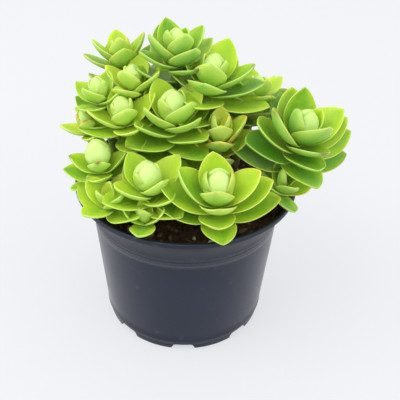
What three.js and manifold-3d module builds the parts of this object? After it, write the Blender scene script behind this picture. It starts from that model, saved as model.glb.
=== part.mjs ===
// Potted crassula: a clump of leafy shoots growing from the soil of a round plastic nursery pot.
// Millimetres, +Z up. The origin is the middle of the pot's base, on the surface that it stands on.

import * as THREE from 'three';
import Module from 'manifold-3d';

const wasm = await Module();
wasm.setup();

// ---------------------------------------------------------------- driving dimensions

const POT_HEIGHT = 80.5;
const RIM_RADIUS = 55;
const RIM_BAND = 2.5;
const SHOULDER_DROP = 17.5;
const SHOULDER_RADIUS = 47;
const BODY_FOOT_RADIUS = 42;
const FOOT_HEIGHT = 5;
const FOOT_INSET = 1;
const WALL = 1.2;
const PAD_RADIUS = 20;
const POT_SIDES = 36;

const NOTCH_COUNT = 8;
const NOTCH_WIDTH = 13;
const NOTCH_HEIGHT = 3;
const DRAIN_RADIUS = 5;
const DRAIN_RING_RADIUS = 27;
const DRAIN_COUNT = 4;
const DRAIN_SIDES = 12;

const SOIL_EDGE_DROP = 12;
const SOIL_CROWN = 4;

const CLEARANCE = 0.3;
const LEAF_GAP = 0.8;
const STEM_RADIUS = 2.6;
const STEM_SIDES = 6;
const BUD_SIDES = 6;
const STEM_PLANTED = 14;
const LEAF_THICKNESS = 1.9;
const PAIR_FOOT_WIDTH = 5;
const LEAF_CUP = 0.12;
const WRAP_OFFSET = 2;
const WRAP_LIMIT = 1.2;
const LEAF_WIDTH_SHARE = 0.72;
const PAIR_SPACING = 1.5;
const LOW_SPACING = 5;

const UP = new THREE.Vector3(0, 0, 1);
const ORIGIN = new THREE.Vector3(0, 0, 0);

// ---------------------------------------------------------------- the shoots

// Each shoot: the crown is where its newest leaf pair joins the stem, its height measured from the pot's
// rim, lean is the sideways share of its axis, root is where its stem enters the soil in shares of the
// soil's radius, turn is the compass angle of the innermost pair, pairs is how many leaf pairs are packed
// into its rosette and low how many more stand further down, inner and outer are the leaf lengths, second
// is the outermost leaf length of every other pair in shares of outer, base and tip are how far the
// innermost and outermost leaves stand off the axis at their two ends (degrees), and bud is the radius of
// the closed bud, 0 for none.
const SHOOTS = [
  { name: 'front', crown: [14, -39, 15], lean: [0.0, -0.16], root: [0.29, -0.62], turn: 2,
    pairs: 8, low: 0, inner: 24, outer: 33, second: 0.74, base: [62, 88], tip: [-24, 68], bud: 7 },
  { name: 'right', crown: [52, -8, 29], lean: [0.28, -0.22], root: [0.6, -0.1], turn: 20,
    pairs: 8, low: 1, inner: 26, outer: 34, second: 0.9, base: [62, 90], tip: [-22, 66], bud: 6.9 },
  { name: 'centre', crown: [-7, -5, 35], lean: [0.0, -0.1], root: [-0.08, -0.08], turn: 38,
    pairs: 8, low: 2, inner: 22, outer: 30, second: 0.95, base: [62, 88], tip: [-22, 74], bud: 6.8 },
  { name: 'lower_left', crown: [-17, -33, 15.5], lean: [-0.05, -0.15], root: [-0.25, -0.5], turn: 38,
    pairs: 6, low: 0, inner: 19, outer: 27, second: 0.9, base: [64, 86], tip: [-20, 66], bud: 6.4 },
  { name: 'left_low', crown: [-40, -20, 19], lean: [-0.1, -0.12], root: [-0.59, -0.27], turn: 5,
    pairs: 5, low: 0, inner: 16, outer: 19, second: 0.95, base: [66, 86], tip: [-18, 56], bud: 5.9 },
  { name: 'upper_right', crown: [11, 10, 47.5], lean: [0.1, -0.05], root: [0.17, 0.21], turn: 160,
    pairs: 7, low: 2, inner: 21, outer: 31, second: 1, base: [62, 88], tip: [-22, 72], bud: 6.2 },
  { name: 'left_middle', crown: [-30, -6, 35.5], lean: [-0.1, -0.1], root: [-0.36, 0], turn: 20,
    pairs: 5, low: 1, inner: 16, outer: 24, second: 0.9, base: [62, 84], tip: [-20, 60], bud: 5 },
  { name: 'top', crown: [-6, 17, 58], lean: [0.0, 0.0], root: [-0.1, 0.34], turn: 30,
    pairs: 6, low: 3, inner: 20, outer: 25, second: 0.95, base: [60, 84], tip: [-22, 46], bud: 5.4 },
  { name: 'upper_left', crown: [-26, 10, 45], lean: [-0.05, 0.0], root: [-0.34, 0.25], turn: 160,
    pairs: 5, low: 2, inner: 15, outer: 22, second: 0.95, base: [58, 82], tip: [-22, 50], bud: 4.4 },
  { name: 'left_high', crown: [-41, 3, 42], lean: [-0.18, 0.0], root: [-0.61, 0.08], turn: 150,
    pairs: 4, low: 2, inner: 14, outer: 19, second: 0.95, base: [60, 82], tip: [-20, 48], bud: 4.3 },
  { name: 'left_edge', crown: [-47, -4, 30], lean: [-0.22, 0.0], root: [-0.74, 0], turn: 15,
    pairs: 4, low: 0, inner: 12, outer: 16, second: 0.9, base: [60, 84], tip: [-20, 50], bud: 3.7 },
  { name: 'far_left', crown: [-33, 28, 51], lean: [-0.12, 0.15], root: [-0.42, 0.53], turn: 15,
    pairs: 5, low: 2, inner: 15, outer: 22, second: 0.95, base: [58, 80], tip: [-20, 36], bud: 4 },
  { name: 'pot_edge', crown: [-35, -35, 8], lean: [-0.15, -0.2], root: [-0.61, -0.57], turn: 50,
    pairs: 4, low: 0, inner: 13, outer: 21, second: 1, base: [46, 82], tip: [-10, 56], bud: 0 },
  { name: 'front_small', crown: [-18, -42, 4.5], lean: [-0.05, -0.2], root: [-0.36, -0.76], turn: 80,
    pairs: 3, low: 0, inner: 12, outer: 17, second: 1, base: [46, 76], tip: [-10, 44], bud: 0 },
  { name: 'middle_small', crown: [15, -9, 27], lean: [0.0, -0.1], root: [0.21, -0.13], turn: 0,
    pairs: 4, low: 2, inner: 16, outer: 23, second: 0.9, base: [34, 66], tip: [-10, 24], bud: 0 },
  { name: 'left_rim', crown: [-45, -14, 8], lean: [-0.3, -0.15], root: [-0.76, -0.29], turn: 45,
    pairs: 3, low: 0, inner: 11, outer: 15, second: 1, base: [48, 80], tip: [-10, 48], bud: 0 },
  { name: 'right_low', crown: [45, -20, 9], lean: [0.4, -0.05], root: [0.68, -0.36], turn: 20,
    pairs: 4, low: 0, inner: 12, outer: 20, second: 0.9, base: [50, 86], tip: [-8, 66], bud: 0 },
  { name: 'right_back', crown: [33, 18, 38], lean: [0.15, 0.1], root: [0.5, 0.34], turn: 25,
    pairs: 5, low: 2, inner: 14, outer: 21, second: 0.95, base: [56, 82], tip: [-16, 46], bud: 4 },
  { name: 'back_right', crown: [30, 40, 25], lean: [0.25, 0.35], root: [0.38, 0.63], turn: 50,
    pairs: 6, low: 2, inner: 21, outer: 28, second: 0.95, base: [62, 88], tip: [-20, 68], bud: 6 },
  { name: 'back_left', crown: [-10, 46, 31], lean: [-0.05, 0.4], root: [-0.13, 0.71], turn: 15,
    pairs: 6, low: 2, inner: 21, outer: 28, second: 0.95, base: [62, 88], tip: [-20, 68], bud: 6 },
  { name: 'back_edge', crown: [-43, 36, 19], lean: [-0.35, 0.3], root: [-0.67, 0.5], turn: 70,
    pairs: 5, low: 1, inner: 17, outer: 24, second: 0.95, base: [64, 86], tip: [-18, 64], bud: 5.2 },
];

// ---------------------------------------------------------------- solids

function solid(positions, faces) {
  return new wasm.Manifold(new wasm.Mesh({
    numProp: 3,
    vertProperties: new Float32Array(positions),
    triVerts: new Uint32Array(faces),
  }));
}

// A closed solid through rings of points. Each ring turns counter-clockwise about the way the loft goes.
// Neighbouring faces split along mirrored diagonals, so that a thin bent blade keeps its thickness.
function loft(rings) {
  const sides = rings[0].length;
  const positions = rings.flat().flatMap((point) => point.toArray());
  const faces = [];
  for (let ring = 0; ring + 1 < rings.length; ring += 1) {
    for (let side = 0; side < sides; side += 1) {
      const a = ring * sides + side;
      const b = ring * sides + (side + 1) % sides;
      if (side % 2 === 0) faces.push(a, b, b + sides, a, b + sides, a + sides);
      else faces.push(a, b, a + sides, b, b + sides, a + sides);
    }
  }
  const last = (rings.length - 1) * sides;
  for (let side = 1; side + 1 < sides; side += 1) {
    faces.push(0, side + 1, side);
    faces.push(last, last + side, last + side + 1);
  }
  return solid(positions, faces);
}

// A solid turned from a profile of [radius, height] points that starts and ends on the axis.
function turned(profile, sides) {
  const points = profile.map(([radius, height]) => new THREE.Vector2(radius, height));
  const lathe = new THREE.LatheGeometry(points, sides);
  const ring = points.length;
  const at = lathe.getAttribute('position');
  const positions = [];
  const index = [];
  for (let side = 0; side < sides; side += 1) {
    for (let point = 0; point < ring; point += 1) {
      const from = side * ring + point;
      const onAxis = point === 0 || point === ring - 1;
      index.push(onAxis && side > 0 ? index[point] : positions.length / 3);
      if (!onAxis || side === 0) {
        positions.push(at.getX(from), -at.getZ(from), at.getY(from));
      }
    }
  }
  const faces = [];
  for (let side = 0; side < sides; side += 1) {
    for (let point = 0; point + 1 < ring; point += 1) {
      const a = index[side * ring + point];
      const b = index[((side + 1) % sides) * ring + point];
      const c = index[((side + 1) % sides) * ring + point + 1];
      const d = index[side * ring + point + 1];
      if (a !== b) faces.push(a, b, c);
      if (c !== d) faces.push(a, c, d);
    }
  }
  return solid(positions, faces);
}

// A round tube of the given radii along a list of points.
function tube(path, radii, sides) {
  const rings = path.map((point, step) => {
    const before = path[Math.max(step - 1, 0)];
    const after = path[Math.min(step + 1, path.length - 1)];
    return circle(point, after.clone().sub(before).normalize(), radii[step], sides);
  });
  return loft(rings);
}

function circle(centre, axis, radius, sides) {
  const across = new THREE.Vector3(1, 0, 0).addScaledVector(axis, -axis.x).normalize();
  const along = new THREE.Vector3().crossVectors(axis, across);
  return Array.from({ length: sides }, (_, side) => {
    const angle = (side / sides) * Math.PI * 2;
    return centre.clone()
      .addScaledVector(across, radius * Math.cos(angle))
      .addScaledVector(along, radius * Math.sin(angle));
  });
}

// ---------------------------------------------------------------- pot and soil

const SHOULDER_HEIGHT = POT_HEIGHT - SHOULDER_DROP;
const FOOT_RADIUS = BODY_FOOT_RADIUS - FOOT_INSET;
const BAND_HEIGHT = POT_HEIGHT - RIM_BAND;
const CHANNEL_HEIGHT = NOTCH_HEIGHT;
const FLOOR_TOP = CHANNEL_HEIGHT + WALL;
const FLARE = new THREE.QuadraticBezierCurve(
  new THREE.Vector2(SHOULDER_RADIUS + 0.5, SHOULDER_HEIGHT + 0.6),
  new THREE.Vector2(SHOULDER_RADIUS + 2, (SHOULDER_HEIGHT + BAND_HEIGHT) / 2 + 1.5),
  new THREE.Vector2(RIM_RADIUS - 1, BAND_HEIGHT),
);

// The outer face of the wall from the foot to the rim band, as [radius, height] points.
function wallLine() {
  const flare = FLARE.getPoints(3).map((point) => [point.x, point.y]);
  return [[BODY_FOOT_RADIUS, FOOT_HEIGHT + 1], [SHOULDER_RADIUS, SHOULDER_HEIGHT], ...flare];
}

function nurseryPot() {
  const outside = wallLine();
  const inside = outside.map(([radius, height]) => [radius - WALL, height]).reverse();
  const profile = [
    [0, 0],
    [PAD_RADIUS, 0],
    [PAD_RADIUS + WALL, CHANNEL_HEIGHT],
    [FOOT_RADIUS - WALL, CHANNEL_HEIGHT],
    [FOOT_RADIUS - WALL, 0],
    [FOOT_RADIUS, 0],
    [FOOT_RADIUS, FOOT_HEIGHT],
    ...outside,
    [RIM_RADIUS, BAND_HEIGHT],
    [RIM_RADIUS, POT_HEIGHT],
    [RIM_RADIUS - WALL, POT_HEIGHT],
    ...inside,
    [FOOT_RADIUS - WALL, FLOOR_TOP],
    [PAD_RADIUS, FLOOR_TOP],
    [PAD_RADIUS - WALL, WALL],
    [0, WALL],
  ];
  let pot = turned(profile, POT_SIDES);
  for (let notch = 0; notch < NOTCH_COUNT; notch += 1) {
    const angle = (notch / NOTCH_COUNT) * Math.PI * 2 - Math.PI / 2;
    pot = pot.subtract(footNotch(angle));
  }
  for (let drain = 0; drain < DRAIN_COUNT; drain += 1) {
    const angle = ((drain + 0.5) / DRAIN_COUNT) * Math.PI * 2;
    const centre = new THREE.Vector3(Math.cos(angle), Math.sin(angle), 0).multiplyScalar(DRAIN_RING_RADIUS);
    const ends = [centre, centre.clone().addScaledVector(UP, FLOOR_TOP + WALL)];
    pot = pot.subtract(loft(ends.map((end) => circle(end, UP, DRAIN_RADIUS, DRAIN_SIDES))));
  }
  return pot;
}

// The block that cuts one arched notch through the foot ring.
function footNotch(angle) {
  const out = new THREE.Vector3(Math.cos(angle), Math.sin(angle), 0);
  const side = new THREE.Vector3().crossVectors(UP, out);
  const outline = [[-0.5, -1], [0.5, -1], [0.38, NOTCH_HEIGHT], [-0.38, NOTCH_HEIGHT]];
  return loft([FOOT_RADIUS - 2 * WALL, FOOT_RADIUS + WALL].map((radius) => outline.map(([share, height]) => (
    out.clone().multiplyScalar(radius)
      .addScaledVector(side, share * NOTCH_WIDTH)
      .addScaledVector(UP, height)))));
}

// The space that the pot's wall fills, with a clearance all round: no leaf enters it.
function wallGuard() {
  const line = wallLine();
  const low = line[0][1];
  const outer = line.map(([radius, height]) => [radius + CLEARANCE, height - CLEARANCE]);
  const inner = line.map(([radius, height]) => [radius - WALL - CLEARANCE, height + CLEARANCE]);
  const top = POT_HEIGHT + CLEARANCE;
  const full = turned([
    [0, low],
    ...outer,
    [RIM_RADIUS + CLEARANCE, BAND_HEIGHT - CLEARANCE],
    [RIM_RADIUS + CLEARANCE, top],
    [0, top],
  ], POT_SIDES);
  return full.subtract(turned([
    [0, low - 1],
    [inner[0][0], low - 1],
    ...inner,
    [RIM_RADIUS - WALL - CLEARANCE, top],
    [RIM_RADIUS - WALL - CLEARANCE, top + 1],
    [0, top + 1],
  ], POT_SIDES));
}

function insideRadius(height) {
  const line = wallLine();
  const upper = line.findIndex((point) => point[1] >= height);
  const [r0, z0] = line[upper - 1];
  const [r1, z1] = line[upper];
  return r0 + (r1 - r0) * (height - z0) / (z1 - z0) - WALL;
}

const SOIL_EDGE_HEIGHT = POT_HEIGHT - SOIL_EDGE_DROP;

function soilHeight(x, y) {
  const share = Math.hypot(x, y) / insideRadius(SOIL_EDGE_HEIGHT);
  return SOIL_EDGE_HEIGHT + SOIL_CROWN * (1 - share * share);
}

function soilBlock() {
  const top = SOIL_EDGE_HEIGHT;
  const edge = insideRadius(top) - CLEARANCE;
  const sides = wallLine()
    .filter(([, height]) => height < top)
    .map(([radius, height]) => [radius - WALL - CLEARANCE, height]);
  const shoulder = edge * 0.6;
  return turned([
    [0, WALL + CLEARANCE],
    [PAD_RADIUS - WALL - CLEARANCE, WALL + CLEARANCE],
    [PAD_RADIUS - CLEARANCE, FLOOR_TOP + CLEARANCE],
    [FOOT_RADIUS - 2 * WALL, FLOOR_TOP + CLEARANCE],
    ...sides,
    [edge, top],
    [shoulder, soilHeight(shoulder, 0)],
    [0, soilHeight(0, 0)],
  ], POT_SIDES);
}

// ---------------------------------------------------------------- stems, leaves and buds

function axisOf(shoot) {
  return new THREE.Vector3(...shoot.lean, 1).normalize();
}

function crownOf(shoot) {
  const [x, y, rise] = shoot.crown;
  return new THREE.Vector3(x, y, POT_HEIGHT + rise);
}

// How far below the crown a leaf pair joins the stem.
function pairDrop(shoot, pair) {
  const packed = Math.min(pair, shoot.pairs - 1);
  return LEAF_THICKNESS / 2 + packed * PAIR_SPACING + (pair - packed) * LOW_SPACING;
}

// From the crown down to the underside of the lowest pair of leaves.
function leafyLength(shoot) {
  return pairDrop(shoot, shoot.pairs + shoot.low - 1) + LEAF_THICKNESS / 2;
}

// A stem rises from its planted end, bends over and meets the underside of its leaves along their axis.
function stem(shoot, grow) {
  const [x, y] = shoot.root.map((share) => share * insideRadius(SOIL_EDGE_HEIGHT));
  const surface = soilHeight(x, y);
  const axis = axisOf(shoot);
  const top = crownOf(shoot).addScaledVector(axis, -leafyLength(shoot) - CLEARANCE);
  const reach = Math.max(top.z - surface, 4);
  const bend = top.clone().addScaledVector(axis, -reach * 0.45);
  const foot = new THREE.Vector3(x, y, surface);
  const rise = foot.clone().add(new THREE.Vector3(0, 0, reach * 0.3));
  const curve = new THREE.CubicBezierCurve3(foot, rise, bend, top);
  const planted = new THREE.Vector3(x, y, surface - STEM_PLANTED - grow);
  const path = [planted, ...curve.getPoints(3)];
  return tube(path, path.map(() => STEM_RADIUS + grow), STEM_SIDES);
}

// Half of a blade's width along its length: a narrow foot, widest past the middle, a short point.
function leafHalfWidth(length, t) {
  const widest = 0.54;
  const full = length * LEAF_WIDTH_SHARE / 2;
  if (t < widest) return full - (full - PAIR_FOOT_WIDTH / 2) * ((widest - t) / widest) ** 1.8;
  return full * (1 - ((t - widest) / (1 - widest)) ** 1.9) ** 0.75;
}

// One pair of opposite leaves, joined at the foot into a single band that crosses the shoot's axis.
// Each leaf's middle line is an arc that leaves the axis at openBase and ends at openTip degrees from it,
// and its sides wrap part of the way round the axis, so that each pair nests in the pair below it.
function leafPair(pair, grow) {
  const { origin, out, axis } = pair;
  const across = new THREE.Vector3().crossVectors(axis, out);
  const foot = [across, axis, across, axis].map((way, corner) => {
    const size = corner % 2 === 0 ? PAIR_FOOT_WIDTH / 2 + grow : LEAF_THICKNESS / 2 + grow;
    return origin.clone().addScaledVector(way, corner < 2 ? size : -size);
  });
  const steps = [0.5, 0.95];
  const far = steps.map((t) => leafSection(pair, out.clone().negate(), across, t, grow)).reverse();
  const near = steps.map((t) => leafSection(pair, out, across, t, grow));
  return loft([...far, foot, ...near]);
}

// The four corners of a leaf's section at t of its length: edge, upper face, other edge, lower face.
function leafSection(pair, out, across, t, grow) {
  const { origin, axis, length, openBase, openTip } = pair;
  const start = THREE.MathUtils.degToRad(openBase);
  const turn = THREE.MathUtils.degToRad(openTip - openBase);
  const angle = start + turn * t;
  const past = t > 0.9 ? grow : 0;
  const radius = length / turn * (Math.cos(start) - Math.cos(angle)) + past * Math.sin(angle);
  const rise = length / turn * (Math.sin(angle) - Math.sin(start)) + past * Math.cos(angle);
  const centre = origin.clone().addScaledVector(out, radius).addScaledVector(axis, rise);
  const face = out.clone().multiplyScalar(-Math.cos(angle)).addScaledVector(axis, Math.sin(angle));
  const half = leafHalfWidth(length, t);
  const wrap = radius + WRAP_OFFSET;
  const sweep = Math.min(half / wrap, WRAP_LIMIT);
  const thick = LEAF_THICKNESS / 2 * (1 - 0.4 * t) + grow;
  const edges = [1, -1].map((side) => {
    const chord = out.clone().multiplyScalar(-wrap * (1 - Math.cos(sweep)))
      .addScaledVector(across, side * wrap * Math.sin(sweep))
      .addScaledVector(face, LEAF_CUP * half);
    return centre.clone().add(chord.setLength(chord.length() + 2 * grow));
  });
  return [
    edges[0],
    centre.clone().addScaledVector(face, thick),
    edges[1],
    centre.clone().addScaledVector(face, -thick),
  ];
}

// The pairs of a shoot, each a quarter turn from the one above it.
function pairsOf(shoot) {
  const axis = axisOf(shoot);
  const across = new THREE.Vector3(1, 0, 0).addScaledVector(axis, -axis.x).normalize();
  return Array.from({ length: shoot.pairs + shoot.low }, (_, pair) => {
    const age = Math.min(pair / (shoot.pairs - 1), 1);
    const outer = shoot.outer * (pair % 2 === 0 ? 1 : shoot.second);
    return {
      axis,
      out: across.clone().applyAxisAngle(axis, THREE.MathUtils.degToRad(shoot.turn + pair * 90)),
      origin: crownOf(shoot).addScaledVector(axis, -pairDrop(shoot, pair)),
      length: THREE.MathUtils.lerp(shoot.inner, outer, age ** 0.5),
      openBase: THREE.MathUtils.lerp(shoot.base[0], shoot.base[1], age),
      openTip: THREE.MathUtils.lerp(shoot.tip[0], shoot.tip[1], age ** 0.7),
    };
  });
}

// All the leaves of a shoot, with the part of its stem that carries the spaced pairs.
function rosette(shoot, grow) {
  const pairs = pairsOf(shoot);
  const blades = pairs.map((pair) => leafPair(pair, grow));
  if (shoot.low > 0) {
    const path = [pairs[shoot.pairs - 1].origin, pairs[pairs.length - 1].origin];
    blades.push(tube(path, path.map(() => STEM_RADIUS + grow), STEM_SIDES));
  }
  return wasm.Manifold.union(blades);
}

// The bud: the newest leaves, still closed into a pointed egg on the crown.
function bud(shoot, grow) {
  const axis = axisOf(shoot);
  const profile = [[0, 0.5], [0.45, 0.92], [1.05, 1], [1.75, 0.72], [2.4, 0.1]];
  const path = profile.map(([rise]) => (
    crownOf(shoot).addScaledVector(axis, CLEARANCE - grow + rise * (shoot.bud + grow))));
  return loft(path.map((point, step) => (
    circle(point, axis, (shoot.bud + grow) * profile[step][1], BUD_SIDES))));
}

// ---------------------------------------------------------------- assembly

function largest(body) {
  return body.decompose().reduce((best, piece) => (piece.volume() > best.volume() ? piece : best));
}

function toMesh(name, body, place, colour, roughness) {
  const { vertProperties, triVerts } = body.getMesh();
  const geometry = new THREE.BufferGeometry();
  geometry.setAttribute('position', new THREE.BufferAttribute(new Float32Array(vertProperties), 3));
  geometry.setIndex(new THREE.BufferAttribute(new Uint32Array(triVerts), 1));
  geometry.translate(-place.x, -place.y, -place.z);
  const material = new THREE.MeshStandardMaterial({ color: colour, roughness, metalness: 0 });
  const mesh = new THREE.Mesh(geometry, material);
  mesh.name = name;
  mesh.position.copy(place);
  return mesh;
}

const group = new THREE.Group();
const pot = nurseryPot();
group.add(toMesh('nursery_pot', pot, ORIGIN, '#2c3140', 0.45));

const sockets = SHOOTS.map((shoot) => stem(shoot, CLEARANCE));
const soil = soilBlock().subtract(wasm.Manifold.union(sockets));
group.add(toMesh('soil', soil, ORIGIN, '#4a3626', 0.95));

// Each shoot's leaves keep clear of the pot, the soil, every stem and bud, and the leaves placed before them.
let guard = wasm.Manifold.union([wallGuard(), soilBlock(), ...sockets]);
for (const shoot of SHOOTS.filter(({ bud: radius }) => radius > 0)) {
  guard = guard.add(bud(shoot, CLEARANCE));
  group.add(toMesh(`${shoot.name}_bud`, bud(shoot, 0), crownOf(shoot), '#cfe58a', 0.4));
}
for (const shoot of SHOOTS) {
  group.add(toMesh(`${shoot.name}_stem`, stem(shoot, 0), crownOf(shoot), '#7d8a45', 0.6));
}
for (const shoot of SHOOTS) {
  const leaves = largest(rosette(shoot, 0).subtract(guard));
  group.add(toMesh(`${shoot.name}_leaves`, leaves, crownOf(shoot), '#86b52b', 0.4));
  guard = guard.add(rosette(shoot, LEAF_GAP));
}

export default group;
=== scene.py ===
"""The looks of a potted crassula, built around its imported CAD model. Metres, +Z up."""

import math
import random

import bpy
import numpy as np
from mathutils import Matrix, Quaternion, Vector
from mathutils.bvhtree import BVHTree


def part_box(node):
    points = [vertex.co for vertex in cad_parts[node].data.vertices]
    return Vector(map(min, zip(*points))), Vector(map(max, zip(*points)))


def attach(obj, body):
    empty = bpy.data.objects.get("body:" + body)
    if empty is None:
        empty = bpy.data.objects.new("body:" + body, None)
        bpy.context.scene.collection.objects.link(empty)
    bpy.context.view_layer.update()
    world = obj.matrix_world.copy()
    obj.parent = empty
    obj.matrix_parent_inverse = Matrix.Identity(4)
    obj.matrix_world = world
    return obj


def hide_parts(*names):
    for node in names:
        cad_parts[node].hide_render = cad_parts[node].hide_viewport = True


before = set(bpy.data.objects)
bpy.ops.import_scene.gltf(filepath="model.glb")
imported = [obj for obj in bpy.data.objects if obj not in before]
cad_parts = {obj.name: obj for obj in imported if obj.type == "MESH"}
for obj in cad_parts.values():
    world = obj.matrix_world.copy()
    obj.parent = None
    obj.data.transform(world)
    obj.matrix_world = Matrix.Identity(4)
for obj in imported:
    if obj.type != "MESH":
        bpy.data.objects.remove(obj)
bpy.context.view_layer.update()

MM = 0.001
BODY = "root"
UP = Vector((0, 0, 1))

# Design values that the CAD model is built from too. The bud's height and the leaf's cup are shares of the
# bud's radius and of the leaf's half width.
STEM_PLANTED = 14 * MM
CAD_STEM_SIDES = 6
STEM_GAP = 0.3 * MM
LEAF_THICKNESS = 1.9 * MM
LEAF_CUP = 0.12
WRAP_OFFSET = 2 * MM
WRAP_LIMIT = 1.2
PAIR_SPACING = 1.5 * MM
LOW_SPACING = 5 * MM
BUD_HEIGHT = 2.4

# The leaf's width at its foot, and its full width and widest place as shares of its length. It is a little
# wider than the faceted CAD blade.
FOOT_WIDTH = 5.5 * MM
LEAF_WIDTH_SHARE = 0.74
LEAF_WIDEST = 0.54

# From this pair outward, a leaf ends where its middle line leaves the trimmed CAD blade by this slack. It is
# looked for at these shares of the leaf's length.
TRIMMED_FROM_PAIR = 2
TRIM_SLACK = 1.3 * MM
TRIM_STEPS = np.linspace(0.25, 0.9, 14)

# The innermost pair closes on the bud like a hood, so it is shorter than its arc in the CAD model.
HOOD_SHARE = 0.8

# How far each leaf strays from its place. Length and bend are shares of its length, the rest degrees.
STRAY_LENGTH = (0.93, 1.0)
STRAY_BEND = 0.06
STRAY_BASE = 1.5
STRAY_TIP = 3.5
STRAY_TURN = 4

# Each shoot: lean is the sideways share of its axis, turn the compass angle of its innermost pair, pairs the
# leaf pairs packed into its rosette and low the pairs spaced out below it. inner and outer are the leaf
# lengths in mm, and second is the outermost length of every other pair as a share of outer. base and tip are
# the degrees that the innermost and outermost leaves stand off the axis at their two ends. bud is the radius
# of the closed bud in mm, tone runs from yellow-green at 0 to deep green at 1, and blush is how red its tips
# are.
SHOOTS = {
    "front": dict(lean=(0.0, -0.16), turn=2, pairs=8, low=0, inner=24, outer=33,
                  second=0.74, base=(62, 88), tip=(-24, 68), bud=7.0, tone=0.55, blush=0.25),
    "right": dict(lean=(0.28, -0.22), turn=20, pairs=8, low=1, inner=26, outer=34,
                  second=0.9, base=(62, 90), tip=(-22, 66), bud=6.9, tone=0.8, blush=0.14),
    "centre": dict(lean=(0.0, -0.1), turn=38, pairs=8, low=2, inner=22, outer=30,
                   second=0.95, base=(62, 88), tip=(-22, 74), bud=6.8, tone=0.42, blush=0.0),
    "lower_left": dict(lean=(-0.05, -0.15), turn=38, pairs=6, low=0, inner=19, outer=27,
                       second=0.9, base=(64, 86), tip=(-20, 66), bud=6.4, tone=0.5, blush=0.0),
    "left_low": dict(lean=(-0.1, -0.12), turn=5, pairs=5, low=0, inner=16, outer=19,
                     second=0.95, base=(66, 86), tip=(-18, 56), bud=5.9, tone=0.45, blush=0.0),
    "upper_right": dict(lean=(0.1, -0.05), turn=160, pairs=7, low=2, inner=21, outer=31,
                        second=1.0, base=(62, 88), tip=(-22, 72), bud=6.2, tone=0.6, blush=0.0),
    "left_middle": dict(lean=(-0.1, -0.1), turn=20, pairs=5, low=1, inner=16, outer=24,
                        second=0.9, base=(62, 84), tip=(-20, 60), bud=5.0, tone=0.3, blush=0.1),
    "top": dict(lean=(0.0, 0.0), turn=30, pairs=6, low=3, inner=20, outer=25,
                second=0.95, base=(60, 84), tip=(-22, 46), bud=5.4, tone=0.72, blush=0.1),
    "upper_left": dict(lean=(-0.05, 0.0), turn=160, pairs=5, low=2, inner=15, outer=22,
                       second=0.95, base=(58, 82), tip=(-22, 50), bud=4.4, tone=0.12, blush=0.1),
    "left_high": dict(lean=(-0.18, 0.0), turn=150, pairs=4, low=2, inner=14, outer=19,
                      second=0.95, base=(60, 82), tip=(-20, 48), bud=4.3, tone=0.45, blush=0.1),
    "left_edge": dict(lean=(-0.22, 0.0), turn=15, pairs=4, low=0, inner=12, outer=16,
                      second=0.9, base=(60, 84), tip=(-20, 50), bud=3.7, tone=0.35, blush=0.5),
    "far_left": dict(lean=(-0.12, 0.15), turn=15, pairs=5, low=2, inner=15, outer=22,
                     second=0.95, base=(58, 80), tip=(-20, 36), bud=4.0, tone=0.6, blush=0.3),
    "pot_edge": dict(lean=(-0.15, -0.2), turn=50, pairs=4, low=0, inner=13, outer=21,
                     second=1.0, base=(46, 82), tip=(-10, 56), bud=0.0, tone=0.35, blush=0.0),
    "front_small": dict(lean=(-0.05, -0.2), turn=80, pairs=3, low=0, inner=12, outer=17,
                        second=1.0, base=(46, 76), tip=(-10, 44), bud=0.0, tone=0.45, blush=0.0),
    "middle_small": dict(lean=(0.0, -0.1), turn=0, pairs=4, low=2, inner=16, outer=23,
                         second=0.9, base=(34, 66), tip=(-10, 24), bud=0.0, tone=0.05, blush=0.7),
    "left_rim": dict(lean=(-0.3, -0.15), turn=45, pairs=3, low=0, inner=11, outer=15,
                     second=1.0, base=(48, 80), tip=(-10, 48), bud=0.0, tone=0.5, blush=0.0),
    "right_low": dict(lean=(0.4, -0.05), turn=20, pairs=4, low=0, inner=12, outer=20,
                      second=0.9, base=(50, 86), tip=(-8, 66), bud=0.0, tone=0.65, blush=0.4),
    "right_back": dict(lean=(0.15, 0.1), turn=25, pairs=5, low=2, inner=14, outer=21,
                       second=0.95, base=(56, 82), tip=(-16, 46), bud=4.0, tone=0.5, blush=0.2),
    "back_right": dict(lean=(0.25, 0.35), turn=50, pairs=6, low=2, inner=21, outer=28,
                       second=0.95, base=(62, 88), tip=(-20, 68), bud=6.0, tone=0.6, blush=0.1),
    "back_left": dict(lean=(-0.05, 0.4), turn=15, pairs=6, low=2, inner=21, outer=28,
                      second=0.95, base=(62, 88), tip=(-20, 68), bud=6.0, tone=0.5, blush=0.0),
    "back_edge": dict(lean=(-0.35, 0.3), turn=70, pairs=5, low=1, inner=17, outer=24,
                      second=0.95, base=(64, 86), tip=(-18, 64), bud=5.2, tone=0.4, blush=0.1),
}


# ------------------------------------------------------------------ mesh helpers

def mix(a, b, share):
    return a + (b - a) * share


def smooth_step(low, high, value):
    share = np.clip((value - low) / (high - low), 0, 1)
    return share * share * (3 - 2 * share)


def full_turn(sides):
    """The angles of that many corners, evenly round a circle."""
    return np.linspace(0, 2 * math.pi, sides, endpoint=False)


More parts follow.
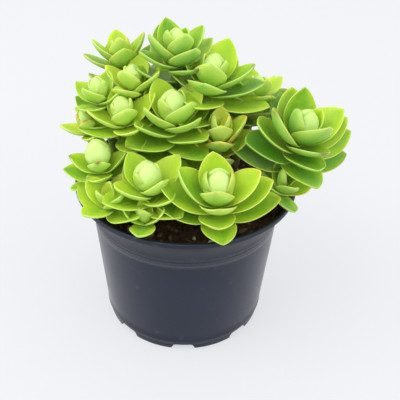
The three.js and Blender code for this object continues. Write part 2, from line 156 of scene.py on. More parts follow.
class Skin:
    """Gathers closed tubes of rings into one mesh, with the attributes shape and look on each point."""

    def __init__(self):
        self.points = []
        self.faces = []
        self.shape = []
        self.look = []
        self.count = 0

    def add_rings(self, rings, shape=None, look=(0, 0, 0, 0)):
        """Adds one tube, given as steps by sides by 3 points, and closes its two ends."""
        steps, sides, _ = rings.shape
        index = self.count + np.arange(steps * sides).reshape(steps, sides)
        after = np.roll(index, -1, axis=1)
        quads = np.stack([index[:-1], after[:-1], after[1:], index[1:]], axis=-1).reshape(-1, 4)
        self.faces += quads.tolist()
        self.faces.append(index[0][::-1].tolist())
        self.faces.append(index[-1].tolist())
        self.points.append(rings.reshape(-1, 3))
        self.shape.append(np.zeros((steps * sides, 4)) if shape is None else shape.reshape(-1, 4))
        self.look.append(np.tile(np.array(look, float), (steps * sides, 1)))
        self.count += steps * sides

    def mesh(self, name):
        mesh = bpy.data.meshes.new(name)
        mesh.from_pydata(np.concatenate(self.points).tolist(), [], self.faces)
        for key, values in (("shape", self.shape), ("look", self.look)):
            layer = mesh.attributes.new(key, "FLOAT_COLOR", "POINT")
            layer.data.foreach_set("color", np.concatenate(values).astype(np.float32).ravel())
        mesh.shade_smooth()
        return mesh

    def piece(self, name, material, slot, *nodes):
        """Makes the object that shows in place of the given CAD nodes."""
        mesh = self.mesh(name)
        mesh.materials.append(material)
        obj = bpy.data.objects.new(name, mesh)
        bpy.context.scene.collection.objects.link(obj)
        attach(obj, BODY)
        if nodes:
            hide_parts(*nodes)
        return obj


def across_axis(axis):
    """The direction square to axis that is nearest to X, from which angles round it are counted."""
    return (Vector((1, 0, 0)) - axis * axis.x).normalized()


def ring_about(centre, axis, radii, angles):
    """Points round centre, in the plane across axis, at the given radii and angles."""
    across = across_axis(axis)
    along = axis.cross(across)
    spread = np.outer(np.cos(angles), across) + np.outer(np.sin(angles), along)
    return np.array(centre) + spread * np.reshape(radii, (-1, 1))


# ------------------------------------------------------------------ materials

class Shader:
    """A small helper that builds the nodes of one material."""

    def __init__(self, name, **values):
        self.material = bpy.data.materials.new(name)
        self.material.use_nodes = True
        self.tree = self.material.node_tree
        self.surface = self.tree.nodes["Principled BSDF"]
        for key, value in values.items():
            self.surface.inputs[key.replace("_", " ")].default_value = value

    def node(self, kind, settings=(), **inputs):
        made = self.tree.nodes.new(kind)
        for key, value in dict(settings).items():
            setattr(made, key, value)
        for key, value in inputs.items():
            self.put(made.inputs[key.replace("_", " ")], value)
        return made

    def put(self, socket, value):
        if isinstance(value, bpy.types.NodeSocket):
            self.tree.links.new(value, socket)
        else:
            socket.default_value = value

    def mix(self, share, first, second):
        made = self.node("ShaderNodeMix", {"data_type": "RGBA"})
        self.put(made.inputs[0], share)
        self.put(made.inputs[6], first)
        self.put(made.inputs[7], second)
        return made.outputs[2]

    def math(self, operation, first, second=0.0):
        made = self.node("ShaderNodeMath", {"operation": operation})
        self.put(made.inputs[0], first)
        self.put(made.inputs[1], second)
        return made.outputs[0]

    def add_share(self, first, second, share):
        """first plus that share of second."""
        return self.math("ADD", first, self.math("MULTIPLY", second, share))

    def span(self, value, low, high, to_low=0.0, to_high=1.0):
        """Runs smoothly from to_low to to_high as value runs from low to high."""
        made = self.node("ShaderNodeMapRange", {"interpolation_type": "SMOOTHSTEP"}, Value=value,
                         From_Min=low, From_Max=high, To_Min=to_low, To_Max=to_high)
        return made.outputs[0]

    def place(self):
        """The point's place on the object, for a texture to be laid by."""
        return self.node("ShaderNodeTexCoord").outputs["Object"]

    def noise(self, scale, detail=3.0, roughness=0.55):
        made = self.node("ShaderNodeTexNoise", Vector=self.place(), Scale=scale, Detail=detail,
                         Roughness=roughness)
        return made.outputs["Fac"]

    def channels(self, attribute):
        made = self.node("ShaderNodeAttribute", {"attribute_name": attribute})
        split = self.node("ShaderNodeSeparateColor", Color=made.outputs["Color"])
        return [*split.outputs[:3], made.outputs["Alpha"]]

    def bump(self, height, strength, distance):
        made = self.node("ShaderNodeBump", Height=height, Strength=strength, Distance=distance)
        self.put(self.surface.inputs["Normal"], made.outputs["Normal"])


def colour(red, green, blue):
    """A colour given as the eye sees it, 0 to 255, in linear light."""
    def linear(value):
        share = value / 255
        return share / 12.92 if share <= 0.04045 else ((share + 0.055) / 1.055) ** 2.4
    return (linear(red), linear(green), linear(blue), 1)


def leaf_material():
    """Waxy leaf skin. shape holds place along the leaf, place across it, upper face and age; look holds
    tone, blush, a random share and the amount of damage at the tip."""
    skin = Shader("crassula_leaf", Subsurface_Weight=0.35, Subsurface_Scale=0.006,
                  Subsurface_Radius=(0.8, 1.0, 0.25), Specular_IOR_Level=0.4, Coat_Weight=0.05,
                  Coat_Roughness=0.35)
    along, across, upper, age = skin.channels("shape")
    tone, blush, chance, damage = skin.channels("look")
    cloud = skin.noise(90)
    mottle = skin.noise(330, 4.0)
    fine = skin.noise(700, 2.0)
    green = skin.add_share(skin.math("MULTIPLY", tone, 0.8), age, 0.3)
    for part, share in ((cloud, 0.5), (mottle, 0.25), (chance, 0.45)):
        green = skin.add_share(green, skin.math("SUBTRACT", part, 0.5), share)
    # Lighter towards the edges: partly the leaf's own paler edge, partly painted light glowing through the
    # thinner edges.
    green = skin.math("ADD", green, skin.span(across, 0.25, 0.85, 0.1, -0.1))
    light = skin.mix(skin.span(green, 0.0, 0.45), colour(212, 226, 86), colour(180, 212, 54))
    body = skin.mix(skin.span(green, 0.4, 1.15), light, colour(98, 156, 34))
    body = skin.mix(skin.span(along, 0.42, 0.02, 0.0, 0.55), body, colour(208, 228, 122))
    under = skin.mix(0.5, body, colour(166, 202, 112))
    body = skin.mix(upper, under, body)
    dots = skin.node("ShaderNodeTexVoronoi", Vector=skin.place(), Scale=900.0)
    freckle = skin.math("MULTIPLY", skin.span(dots.outputs["Distance"], 0.24, 0.1), 0.36)
    body = skin.mix(freckle, body, colour(200, 222, 130))
    # The pale margin line: the edge's own paler colour, and painted light glowing through the thin edge.
    pale_margin_and_glow = skin.span(across, 0.94, 0.995)
    body = skin.mix(skin.math("MULTIPLY", pale_margin_and_glow, 0.42), body, colour(198, 224, 140))
    edge = skin.math("MAXIMUM", skin.span(across, 0.8, 1.0), skin.span(along, 0.82, 1.0))
    blushed = skin.math("MULTIPLY", skin.math("MULTIPLY", edge, blush), skin.span(cloud, 0.35, 0.65))
    body = skin.mix(blushed, body, colour(222, 140, 52))
    scar = skin.math("MULTIPLY", skin.span(along, 0.9, 0.99), damage)
    body = skin.mix(scar, body, colour(120, 84, 48))
    skin.put(skin.surface.inputs["Base Color"], body)
    skin.put(skin.surface.inputs["Roughness"], skin.span(cloud, 0.2, 0.8, 0.4, 0.58))
    skin.bump(skin.add_share(fine, cloud, 2.0), 0.25, 0.4 * MM)
    return skin.material


def bud_material():
    """Paler, smoother skin. shape holds the height up the bud and how near the seam a point is."""
    skin = Shader("crassula_bud", Subsurface_Weight=0.25, Subsurface_Scale=0.004,
                  Subsurface_Radius=(0.6, 1.0, 0.25), Specular_IOR_Level=0.42, Coat_Weight=0.06,
                  Coat_Roughness=0.3)
    rise, seam, _, _ = skin.channels("shape")
    cloud = skin.noise(120)
    body = skin.mix(skin.span(cloud, 0.3, 0.7), colour(188, 216, 114), colour(204, 228, 138))
    body = skin.mix(skin.span(rise, 0.5, 0.05, 0.0, 0.75), body, colour(170, 204, 70))
    # Painted shade: darker green along the seam, in the crease where the two halves meet.
    body = skin.mix(skin.math("MULTIPLY", seam, 0.5), body, colour(146, 186, 60))
    skin.put(skin.surface.inputs["Base Color"], body)
    skin.put(skin.surface.inputs["Roughness"], skin.span(cloud, 0.2, 0.8, 0.36, 0.48))
    skin.bump(skin.noise(900, 2.0), 0.12, 0.3 * MM)
    return skin.material


def stem_material():
    """Brown and corky at the foot, green further up. shape holds the height up the stem."""
    bark = Shader("crassula_stem", Roughness=0.6, Subsurface_Weight=0.05, Subsurface_Scale=0.002)
    rise, _, _, _ = bark.channels("shape")
    cloud = bark.noise(260, 4.0)
    green = bark.mix(bark.span(cloud, 0.35, 0.65), colour(120, 150, 60), colour(150, 168, 84))
    brown = bark.mix(bark.span(cloud, 0.35, 0.65), colour(104, 82, 54), colour(140, 116, 80))
    bark.put(bark.surface.inputs["Base Color"], bark.mix(bark.span(rise, 0.2, 0.75), brown, green))
    bark.bump(bark.noise(500, 5.0), 0.6, 0.6 * MM)
    return bark.material


def pot_material():
    """Glossy moulded plastic with a little dust. The collar is duller than the body, and its colour is
    slightly darker as painted shade, for the collar faces down towards the floor.
    """
    plastic = Shader("pot_plastic", Specular_IOR_Level=0.5, Specular_Tint=(0.8, 0.88, 1.0, 1))
    cloud = plastic.noise(38, 4.0)
    height = plastic.node("ShaderNodeSeparateXYZ", Vector=plastic.place()).outputs["Z"]
    collar = plastic.span(height, SHOULDER_HEIGHT, SHOULDER_HEIGHT + COLLAR_BLEND)
    body = plastic.mix(plastic.span(cloud, 0.3, 0.7), colour(10, 15, 33), colour(15, 20, 41))
    # Painted shade: the collar's colour is darker than the body's, for its downward-facing slope.
    body = plastic.mix(collar, body, colour(9, 13, 29))
    dust = plastic.math("MULTIPLY", plastic.span(plastic.noise(160, 6.0), 0.6, 0.8), 0.18)
    plastic.put(plastic.surface.inputs["Base Color"], plastic.mix(dust, body, colour(112, 114, 120)))
    rough = plastic.add_share(plastic.span(cloud, 0.25, 0.75, 0.18, 0.3), collar, 0.2)
    plastic.put(plastic.surface.inputs["Roughness"], rough)
    plastic.bump(plastic.noise(1500, 2.0), 0.12, 0.3 * MM)
    return plastic.material


def soil_material():
    """Dark damp soil. The random share in look picks out bark crumbs and a few pale grains of grit."""
    earth = Shader("potting_soil", Roughness=0.95, Specular_IOR_Level=0.2)
    _, _, chance, _ = earth.channels("look")
    cloud = earth.noise(420, 6.0, 0.7)
    body = earth.mix(earth.span(cloud, 0.3, 0.7), colour(46, 34, 24), colour(98, 74, 52))
    body = earth.mix(earth.span(chance, 0.72, 0.78), body, colour(138, 112, 82))
    body = earth.mix(earth.span(chance, 0.93, 0.94), body, colour(206, 200, 188))
    earth.put(earth.surface.inputs["Base Color"], body)
    earth.bump(earth.noise(1300, 6.0, 0.7), 0.9, 1.2 * MM)
    return earth.material


# ------------------------------------------------------------------ where the CAD model puts things

def corners_of(node):
    """The CAD node's corners, each once, from the lowest up."""
    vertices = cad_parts[node].data.vertices
    places = {tuple(round(value, 6) for value in vertex.co) for vertex in vertices}
    return sorted(places, key=lambda place: place[2])


def middle(places):
    return Vector(np.mean(np.array(places), axis=0))


def pair_drop(shoot, pair):
    """How far below the crown a leaf pair joins the stem."""
    packed = min(pair, shoot["pairs"] - 1)
    return LEAF_THICKNESS / 2 + packed * PAIR_SPACING + (pair - packed) * LOW_SPACING


def growth(name, shoot):
    """The shoot's axis, the foot of its stem on the soil, its stem's top and its crown."""
    corners = corners_of(f"{name}_stem")
    axis = Vector((*shoot["lean"], 1)).normalized()
    foot = middle(corners[:CAD_STEM_SIDES]) + UP * STEM_PLANTED
    top = middle(corners[-CAD_STEM_SIDES:])
    leafy = pair_drop(shoot, shoot["pairs"] + shoot["low"] - 1) + LEAF_THICKNESS / 2
    return axis, foot, top, top + axis * (leafy + STEM_GAP)


# ------------------------------------------------------------------ plant pieces

LEAF_STEPS = 22
LEAF_SIDES = 30
EDGE_HEIGHT = 0.16 * MM
GROOVE_DEPTH = 0.18 * MM
WAVE_HEIGHT = 0.35 * MM

BUD_STEPS = 26
BUD_SIDES = 48
BUD_WIDEST = 0.42
SEAM_DEPTH = 0.1
SEAM_WIDTH = 0.1

STALK_STEPS = 30
STALK_SIDES = 14
STALK_RADIUS = 2.3 * MM
SCAR_HEIGHT = 0.35 * MM
SCAR_SPACING = 6 * MM


def leaf_half_width(length, t):
    """Half of a leaf's width along its length: a narrow foot, widest past the middle, a short point."""
    full = length * LEAF_WIDTH_SHARE / 2
    to_foot = np.clip((LEAF_WIDEST - t) / LEAF_WIDEST, 0, 1)
    to_tip = np.clip((t - LEAF_WIDEST) / (1 - LEAF_WIDEST), 0, 1)
    below = full - (full - FOOT_WIDTH / 2) * to_foot ** 1.8
    above = full * (1 - to_tip ** 1.8) ** 0.82
    return np.where(t < LEAF_WIDEST, below, above)


def middle_line(leaf, t):
    """The leaf's middle line at t of its length: angle from the axis, distance from it and rise along it."""
    start = math.radians(leaf["open_base"])
    turn = math.radians(leaf["open_tip"] - leaf["open_base"])
    angle = start + turn * t
    radius = leaf["length"] / turn * (math.cos(start) - np.cos(angle))
    rise = leaf["length"] / turn * (np.sin(angle) - math.sin(start))
    return angle, radius, rise


def shorten(leaf, solid, origin, axis, out):
    """Ends the leaf where the CAD leaf is trimmed back from a neighbour."""
    _, radius, rise = middle_line(leaf, TRIM_STEPS)
    reach = TRIM_STEPS[0]
    for t, away, up in zip(TRIM_STEPS, radius, rise):
        distance = solid.find_nearest(origin + out * away + axis * up)[3]
        if distance > TRIM_SLACK:
            break
        reach = t
    if reach < TRIM_STEPS[-1]:
        leaf["length"] *= reach
        leaf["open_tip"] = mix(leaf["open_base"], leaf["open_tip"], reach)


def add_leaf(skin, origin, axis, out, leaf, chance):
    """One fleshy blade: an arc from the axis, wrapped part of the way round it, thick in the middle, with a
    fine raised edge and a small point."""
    across = axis.cross(out)
    length = leaf["length"]
    t = 1 - (1 - np.linspace(0, 0.985, LEAF_STEPS)) ** 1.5
    angle, radius, rise = middle_line(leaf, t)
    half = leaf_half_width(length, t)
    wrap = radius + WRAP_OFFSET
    sweep = np.minimum(half / wrap, WRAP_LIMIT)
    full = length * LEAF_WIDTH_SHARE / 2
    thick = LEAF_THICKNESS * (1.15 - 0.5 * t) * np.sqrt(np.clip(half / (0.35 * full), 0, 1))

    corner = full_turn(LEAF_SIDES)
    side = np.cos(corner)
    upper = np.sin(corner) > 0
    body = np.sign(np.sin(corner)) * np.abs(np.sin(corner)) ** 0.6 * (1 - 0.35 * side ** 2)
    edge = upper * np.exp(-(((np.abs(side) - 0.93) / 0.05) ** 2))
    groove = upper * np.exp(-((side / 0.12) ** 2))

    swept = sweep[:, None] * side[None, :]
    phase = 6.3 * (1.2 * t[:, None] + chance) + 2 * side[None, :]
    wave = WAVE_HEIGHT * np.sin(phase) * np.abs(side[None, :])
    lift = (LEAF_CUP * half[:, None] * side[None, :] ** 2
            + thick[:, None] / 2 * body[None, :] * np.where(upper, 0.75, 1.25)[None, :]
            + EDGE_HEIGHT * edge[None, :] * np.clip(half / full, 0, 1)[:, None]
            - GROOVE_DEPTH * groove[None, :] * (1 - t[:, None])
            + wave * smooth_step(0.1, 0.5, t)[:, None])
    bend = leaf["bend"] * length * t ** 2
    outward = radius[:, None] - wrap[:, None] * (1 - np.cos(swept)) - np.cos(angle)[:, None] * lift
    sideways = wrap[:, None] * np.sin(swept) + bend[:, None]
    upward = rise[:, None] + np.sin(angle)[:, None] * lift
    rings = (np.array(origin) + outward[..., None] * np.array(out)
             + sideways[..., None] * np.array(across) + upward[..., None] * np.array(axis))

    shape = np.zeros((LEAF_STEPS, LEAF_SIDES, 4))
    shape[..., 0] = t[:, None]
    shape[..., 1] = np.abs(side)[None, :]
    shape[..., 2] = upper[None, :]
    shape[..., 3] = leaf["age"]
    skin.add_rings(rings, shape, leaf["look"])


def make_leaves(name, shoot, material):
    """All of a shoot's leaves, in opposite pairs, each pair a quarter turn from the one above it."""
    axis, _, _, crown = growth(name, shoot)
    rng = random.Random(f"leaves of {name}")
    across = across_axis(axis)
    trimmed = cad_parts[f"{name}_leaves"].data
    solid = BVHTree.FromPolygons([vertex.co for vertex in trimmed.vertices],
                                 [face.vertices for face in trimmed.polygons])
    skin = Skin()
    for pair in range(shoot["pairs"] + shoot["low"]):
        age = min(pair / (shoot["pairs"] - 1), 1)
        origin = crown - axis * pair_drop(shoot, pair)
        outer = shoot["outer"] * (shoot["second"] if pair % 2 else 1)
        hood = shoot["bud"] and pair == 0
        for half in (0, 180):
            angle = shoot["turn"] + pair * 90 + half
            leaf = {
                "length": mix(shoot["inner"], outer, age ** 0.5) * (HOOD_SHARE if hood else 1) * MM,
                "open_base": mix(*shoot["base"], age),
                "open_tip": mix(*shoot["tip"], age ** 0.7),
                "bend": rng.uniform(-STRAY_BEND, STRAY_BEND),
                "age": age,
            }
            if pair >= TRIMMED_FROM_PAIR:
                shorten(leaf, solid, origin, axis, Quaternion(axis, math.radians(angle)) @ across)
            leaf["length"] *= rng.uniform(*STRAY_LENGTH)
            leaf["open_base"] += rng.uniform(-STRAY_BASE, STRAY_BASE)
            leaf["open_tip"] += rng.uniform(-STRAY_TIP, STRAY_TIP)
            chance = rng.random()
            blush = shoot["blush"] * rng.uniform(0.3, 1.6)
            damage = rng.random() ** 12
            leaf["look"] = (shoot["tone"], blush, chance, damage)
            out = Quaternion(axis, math.radians(angle + rng.uniform(-STRAY_TURN, STRAY_TURN))) @ across
            add_leaf(skin, origin, axis, out, leaf, chance)
    skin.piece(f"{name}_blades", material, "leaf", f"{name}_leaves")


def make_bud(name, shoot, material):
    """A closed bud: an egg with a short point, of two young leaves pressed together along a seam."""
    axis, _, _, crown = growth(name, shoot)
    size = shoot["bud"] * MM
    s = np.linspace(0.02, 0.995, BUD_STEPS)
    below = (1 - np.clip((BUD_WIDEST - s) / BUD_WIDEST, 0, 1) ** 2.4) ** 0.5
    above = (1 - np.clip((s - BUD_WIDEST) / (1 - BUD_WIDEST), 0, 1) ** 1.8) ** 0.8
    outline = size * np.where(s < BUD_WIDEST, below, above)
    angles = full_turn(BUD_SIDES)
    seam_line = math.radians(shoot["turn"])
    off_seam = outline[:, None] * np.abs(np.sin(angles - seam_line))[None, :]
    seam = np.exp(-((off_seam / (SEAM_WIDTH * size)) ** 2)) * smooth_step(0.3, 0.75, s)[:, None]
    radii = outline[:, None] * (1 - SEAM_DEPTH * seam)
    rings = np.array([ring_about(crown, axis, radii[step], angles) for step in range(BUD_STEPS)])
    rise = BUD_HEIGHT * size * s[:, None] - SEAM_DEPTH * size * seam
    rings += rise[..., None] * np.array(axis)
    shape = np.zeros((*seam.shape, 4))
    shape[..., 0] = s[:, None]
    shape[..., 1] = seam
    skin = Skin()
    skin.add_rings(rings, shape)
    skin.piece(f"{name}_bud_tip", material, "bud", f"{name}_bud")


def make_stem(name, shoot, material):
    """A fleshy stem with a slight ring at each old leaf scar."""
    axis, foot, top, _ = growth(name, shoot)
    reach = max(top.z - foot.z, 4 * MM)
    points = [foot, foot + UP * reach * 0.3, top - axis * reach * 0.45, top]
    path = [foot - UP * STEM_PLANTED / 2]
    for step in range(STALK_STEPS):
        s = step / (STALK_STEPS - 1)
        weights = ((1 - s) ** 3, 3 * s * (1 - s) ** 2, 3 * s * s * (1 - s), s ** 3)
        path.append(sum((point * weight for point, weight in zip(points, weights)), Vector()))
    path.append(top + axis * (shoot["low"] * LOW_SPACING + PAIR_SPACING))
    rings = []
    for step, place in enumerate(path):
        ahead = path[min(step + 1, len(path) - 1)] - path[max(step - 1, 0)]
        distance = (place - path[0]).length
        scar = math.exp(-(((distance / SCAR_SPACING) % 1 - 0.5) / 0.12) ** 2)
        radii = np.full(STALK_SIDES, STALK_RADIUS + SCAR_HEIGHT * scar)
        rings.append(ring_about(place, ahead.normalized(), radii, full_turn(STALK_SIDES)))
    shape = np.zeros((len(path), STALK_SIDES, 4))
    shape[..., 0] = np.linspace(0, 1, len(path))[:, None]
    skin = Skin()
    skin.add_rings(np.array(rings), shape)
    skin.piece(f"{name}_stalk", material, "stem", f"{name}_stem")


# ------------------------------------------------------------------ pot and soil

_, POT_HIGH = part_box("nursery_pot")
POT_HEIGHT = POT_HIGH.z
RIM_RADIUS = POT_HIGH.x
RIM_BAND = 2.5 * MM
SHOULDER_HEIGHT = POT_HEIGHT - 17.5 * MM
SHOULDER_RADIUS = 47 * MM
BODY_FOOT_RADIUS = 42 * MM
FOOT_RADIUS = 41 * MM
FOOT_HEIGHT = 5 * MM
WALL = 1.2 * MM
BEAD_RADIUS = 0.45 * MM
COLLAR_BLEND = 3 * MM
BAND_ROUND = 0.7 * MM
LIP_ROUND = 0.5 * MM
FOOT_FILLET = 0.9 * MM
POT_SIDES = 208
PAD_RADIUS = 20 * MM
NOTCH_COUNT = 8
NOTCH_WIDTH = 13 * MM
NOTCH_HEIGHT = 3 * MM
DRAIN_COUNT = 4
DRAIN_RADIUS = 5 * MM
DRAIN_RING_RADIUS = 27 * MM
DRAIN_SIDES = 32


def arc(centre, size, start, end, steps=5):
    """Points of an arc in the profile plane, angles in degrees from outward."""
    spread = [math.radians(mix(start, end, step / (steps - 1))) for step in range(steps)]
    return [(centre[0] + size * math.cos(a), centre[1] + size * math.sin(a)) for a in spread]


def flare(share):
    """The collar's curve from the shoulder up to the rim band."""
    low = (SHOULDER_RADIUS + 0.5 * MM, SHOULDER_HEIGHT + 0.6 * MM)
    high = (RIM_RADIUS - 1 * MM, POT_HEIGHT - RIM_BAND)
    bend = (SHOULDER_RADIUS + 2 * MM, (SHOULDER_HEIGHT + high[1]) / 2 + 1.5 * MM)
    weights = ((1 - share) ** 2, 2 * share * (1 - share), share ** 2)
    return tuple(sum(w * p[i] for w, p in zip(weights, (low, bend, high))) for i in (0, 1))


def wall_outline():
    """The pot's outside from the foot up to the rim band: body, shoulder bead and collar."""
    body = [(mix(BODY_FOOT_RADIUS, SHOULDER_RADIUS, s), mix(FOOT_HEIGHT + 1.6 * MM, SHOULDER_HEIGHT, s))
            for s in np.linspace(0, 1, 14)]
    bead = arc((SHOULDER_RADIUS, SHOULDER_HEIGHT + BEAD_RADIUS), BEAD_RADIUS, -70, 80)
    collar = [flare(s) for s in np.linspace(0.03, 1, 14)]
    return body + bead + collar


def pot_profile():
    """The closed section of the shell, from the middle of its underside to the middle of its floor."""
    outside = wall_outline()
    inside = [(radius - WALL, height) for radius, height in outside[::-1]]
    band = POT_HEIGHT - RIM_BAND
    return [
        (0, 0),
        (PAD_RADIUS, 0),
        (PAD_RADIUS + WALL, NOTCH_HEIGHT),
        (FOOT_RADIUS - WALL, NOTCH_HEIGHT),
        *arc((FOOT_RADIUS - WALL / 2, WALL / 2), WALL / 2, 180, 360),
        (FOOT_RADIUS, FOOT_HEIGHT / 2),
        (FOOT_RADIUS, FOOT_HEIGHT),
        *arc((FOOT_RADIUS + 0.3 * MM, FOOT_HEIGHT + FOOT_FILLET), FOOT_FILLET, -90, -10),
        *outside,
        *arc((RIM_RADIUS - BAND_ROUND, band + 0.5 * MM), BAND_ROUND, -80, 0),
        *arc((RIM_RADIUS - BAND_ROUND, POT_HEIGHT - BAND_ROUND), BAND_ROUND, 0, 90),
        *arc((RIM_RADIUS - WALL, POT_HEIGHT - LIP_ROUND), LIP_ROUND, 90, 180),
        *inside,
        (FOOT_RADIUS - WALL, NOTCH_HEIGHT + WALL),
        (PAD_RADIUS, NOTCH_HEIGHT + WALL),
        (PAD_RADIUS - WALL, WALL),
        (0, WALL),
    ]


def make_pot(material):
    """The pot's shell, turned from its profile, with arched notches in the foot ring."""
    profile = pot_profile()
    angles = full_turn(POT_SIDES)
    radii = np.array([max(point[0], 0.05 * MM) for point in profile])
    heights = np.array([point[1] for point in profile])
    turn = (angles + math.pi / 2) * NOTCH_COUNT / (2 * math.pi)
    beside = np.abs(turn - np.round(turn)) * 2 * math.pi / NOTCH_COUNT * FOOT_RADIUS
    arch = NOTCH_HEIGHT * smooth_step(NOTCH_WIDTH / 2, NOTCH_WIDTH / 2 - 2 * MM, beside)
    on_foot = (radii > FOOT_RADIUS - 1.5 * WALL) & (heights < NOTCH_HEIGHT)
    tall = np.where(on_foot[:, None], np.maximum(heights[:, None], arch[None, :]), heights[:, None])
    rings = np.stack([radii[:, None] * np.cos(angles), radii[:, None] * np.sin(angles), tall], axis=-1)
    skin = Skin()
    skin.add_rings(rings)
    shell = skin.piece("pot_shell", material, "pot_plastic", "nursery_pot")
    cut_drain_holes(shell)


def cut_drain_holes(shell):
    """Cuts the round drain holes through the pot's floor."""
    radii = np.full(DRAIN_SIDES, DRAIN_RADIUS)
    plugs = Skin()
    for drain in range(DRAIN_COUNT):
        angle = (drain + 0.5) / DRAIN_COUNT * 2 * math.pi
        x, y = DRAIN_RING_RADIUS * math.cos(angle), DRAIN_RING_RADIUS * math.sin(angle)
        ends = [ring_about((x, y, z), UP, radii, full_turn(DRAIN_SIDES))
                for z in (NOTCH_HEIGHT - WALL, NOTCH_HEIGHT + 2 * WALL)]
        plugs.add_rings(np.array(ends))
    cutter = bpy.data.objects.new("drain_plugs", plugs.mesh("drain_plugs"))
    bpy.context.scene.collection.objects.link(cutter)
    cut = shell.modifiers.new("drain_holes", "BOOLEAN")
    cut.object = cutter
    cut.solver = "EXACT"
    bpy.context.view_layer.update()
    shell.data = bpy.data.meshes.new_from_object(shell.evaluated_get(bpy.context.evaluated_depsgraph_get()))
    shell.modifiers.clear()
    bpy.data.objects.remove(cutter)


SOIL_LOW, SOIL_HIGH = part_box("soil")
SOIL_RADIUS = SOIL_HIGH.x
SOIL_EDGE = POT_HEIGHT - 12 * MM
SOIL_FOOT_RADIUS = 38 * MM
SOIL_SIDES = 120
SOIL_RINGS = 44
SOIL_ROUGHNESS = 0.22 * MM
CRUMB_COUNT = 520
CRUMB_SIDES = 8


def soil_height(radius):
    """The soil's mean height that far from the middle: highest there, lowest at the wall."""
    return mix(SOIL_HIGH.z, SOIL_EDGE, (radius / SOIL_RADIUS) ** 2)


def make_soil(material):
    """The soil's body, with an uneven top, and the crumbs, bark and grit that lie on it."""
    rng = random.Random("soil")
    angles = full_turn(SOIL_SIDES)
    waves = [(rng.uniform(40, 420), rng.uniform(0, 6.3), rng.uniform(0, 6.3)) for _ in range(24)]
    rings = []
    for share in np.linspace(1, 0.01, SOIL_RINGS):
        radius = SOIL_RADIUS * share
        x, y = radius * np.cos(angles), radius * np.sin(angles)
        rough = sum(np.sin(x * size * math.cos(way) + y * size * math.sin(way) + phase) * 60 / (60 + size)
                    for size, way, phase in waves)
        z = soil_height(radius) + rough * SOIL_ROUGHNESS * (share < 1)
        rings.append(np.stack([x, y, z], axis=-1))
    wall = [(SOIL_LOW.z, SOIL_FOOT_RADIUS), (SHOULDER_HEIGHT, SHOULDER_RADIUS - 1.5 * MM)]
    under = [ring_about((0, 0, z), UP, np.full(SOIL_SIDES, radius), angles) for z, radius in wall]
    skin = Skin()
    skin.add_rings(np.array(under + rings))
    skin.piece("soil_body", material, "soil", "soil")

    crumbs = Skin()
    for _ in range(CRUMB_COUNT):
        radius = (SOIL_RADIUS - 2 * MM) * math.sqrt(rng.random())
        way = rng.uniform(0, 2 * math.pi)
        place = Vector((radius * math.cos(way), radius * math.sin(way), soil_height(radius)))
        add_crumb(crumbs, place, rng)
    crumbs.piece("soil_crumbs", material, "soil")


def add_crumb(skin, place, rng):
    """One crumb: a small ball, stretched and knocked out of shape."""
    chance = rng.random()
    size = rng.uniform(0.5, 1.5) * MM
    stretch = Vector((rng.uniform(0.8, 2.2), rng.uniform(0.7, 1.2), rng.uniform(0.5, 0.9)))
    facing = Quaternion(Vector((rng.gauss(0, 1), rng.gauss(0, 1), rng.gauss(0, 1))).normalized(),
                        rng.uniform(0, 6.3))
    rings = []
    for level in np.linspace(-0.9, 0.9, 5):
        round_off = math.sqrt(1 - level * level)
        ring = []
        for angle in full_turn(CRUMB_SIDES):
            reach = round_off * rng.uniform(0.78, 1.15)
            point = Vector((reach * math.cos(angle) * stretch.x, reach * math.sin(angle) * stretch.y,
                            level * stretch.z))
            ring.append(place + facing @ (point * size))
        rings.append(ring)
    skin.add_rings(np.array(rings), look=(0, 0, chance, 0))


# ------------------------------------------------------------------ floor, light and camera

FLOOR_REACH = 12.0
LIT_PLACE = Vector((0, 0, 0.08))


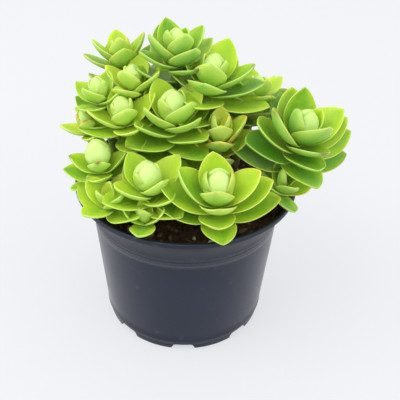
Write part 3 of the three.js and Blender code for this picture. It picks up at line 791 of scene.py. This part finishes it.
def make_stage():
    """A wide sheet of white paper under the pot."""
    mesh = bpy.data.meshes.new("floor")
    corners = [(x * FLOOR_REACH, y * FLOOR_REACH, 0) for x, y in ((-1, -1), (1, -1), (1, 1), (-1, 1))]
    mesh.from_pydata(corners, [], [(0, 1, 2, 3)])
    floor = bpy.data.objects.new("floor", mesh)
    bpy.context.scene.collection.objects.link(floor)
    paint = Shader("floor_paper", Roughness=0.9, Specular_IOR_Level=0.0, Emission_Strength=0.61)
    paint.surface.inputs["Base Color"].default_value = (0.21, 0.215, 0.225, 1)
    paint.surface.inputs["Emission Color"].default_value = (0.97, 0.98, 1.0, 1)
    mesh.materials.append(paint.material)


def add_light(name, place, size, power):
    """A round lamp at place that faces the plant."""
    data = bpy.data.lights.new(name, "AREA")
    data.shape = "DISK"
    data.size = size
    data.energy = power
    lamp = bpy.data.objects.new(name, data)
    lamp.location = place
    lamp.visible_camera = False
    lamp.rotation_euler = (LIT_PLACE - Vector(place)).to_track_quat("-Z", "Y").to_euler()
    bpy.context.scene.collection.objects.link(lamp)


def make_lights():
    """An even pale sky, with soft lamps from the front left, the front right and both sides."""
    world = bpy.data.worlds.new("studio")
    world.use_nodes = True
    sky = world.node_tree.nodes["Background"]
    sky.inputs["Color"].default_value = (0.97, 0.98, 1.0, 1)
    sky.inputs["Strength"].default_value = 1.2
    bpy.context.scene.world = world
    add_light("key", (-0.75, -0.45, 1.3), 1.1, 8)
    add_light("fill", (0.9, -0.7, 0.9), 1.0, 3)
    add_light("left_side", (-1.2, 0.05, 0.8), 0.9, 2.2)
    add_light("right_side", (1.2, 0.1, 0.8), 0.7, 0.8)


def make_camera():
    """The photograph's view: from in front, about 43 degrees up, with a slightly long lens."""
    elevation = math.radians(43.1)
    distance = 0.4045
    aim = Vector((0.0072, 0, 0.0659))
    roll = math.radians(1.95)
    place = Vector((0, -math.cos(elevation), math.sin(elevation))) * distance
    data = bpy.data.cameras.new("camera")
    data.sensor_width = 36
    data.lens = 63.7
    camera = bpy.data.objects.new("camera", data)
    camera.location = place
    facing = (aim - place).to_track_quat("-Z", "Y") @ Quaternion((0, 0, 1), roll)
    camera.rotation_euler = facing.to_euler()
    bpy.context.scene.collection.objects.link(camera)
    bpy.context.scene.camera = camera


def build():
    leaf, bud, stem = leaf_material(), bud_material(), stem_material()
    for name, shoot in SHOOTS.items():
        make_leaves(name, shoot, leaf)
        make_stem(name, shoot, stem)
        if shoot["bud"]:
            make_bud(name, shoot, bud)
    make_pot(pot_material())
    make_soil(soil_material())
    make_stage()
    make_lights()
    make_camera()
    bpy.context.scene.view_settings.view_transform = "Standard"


build()
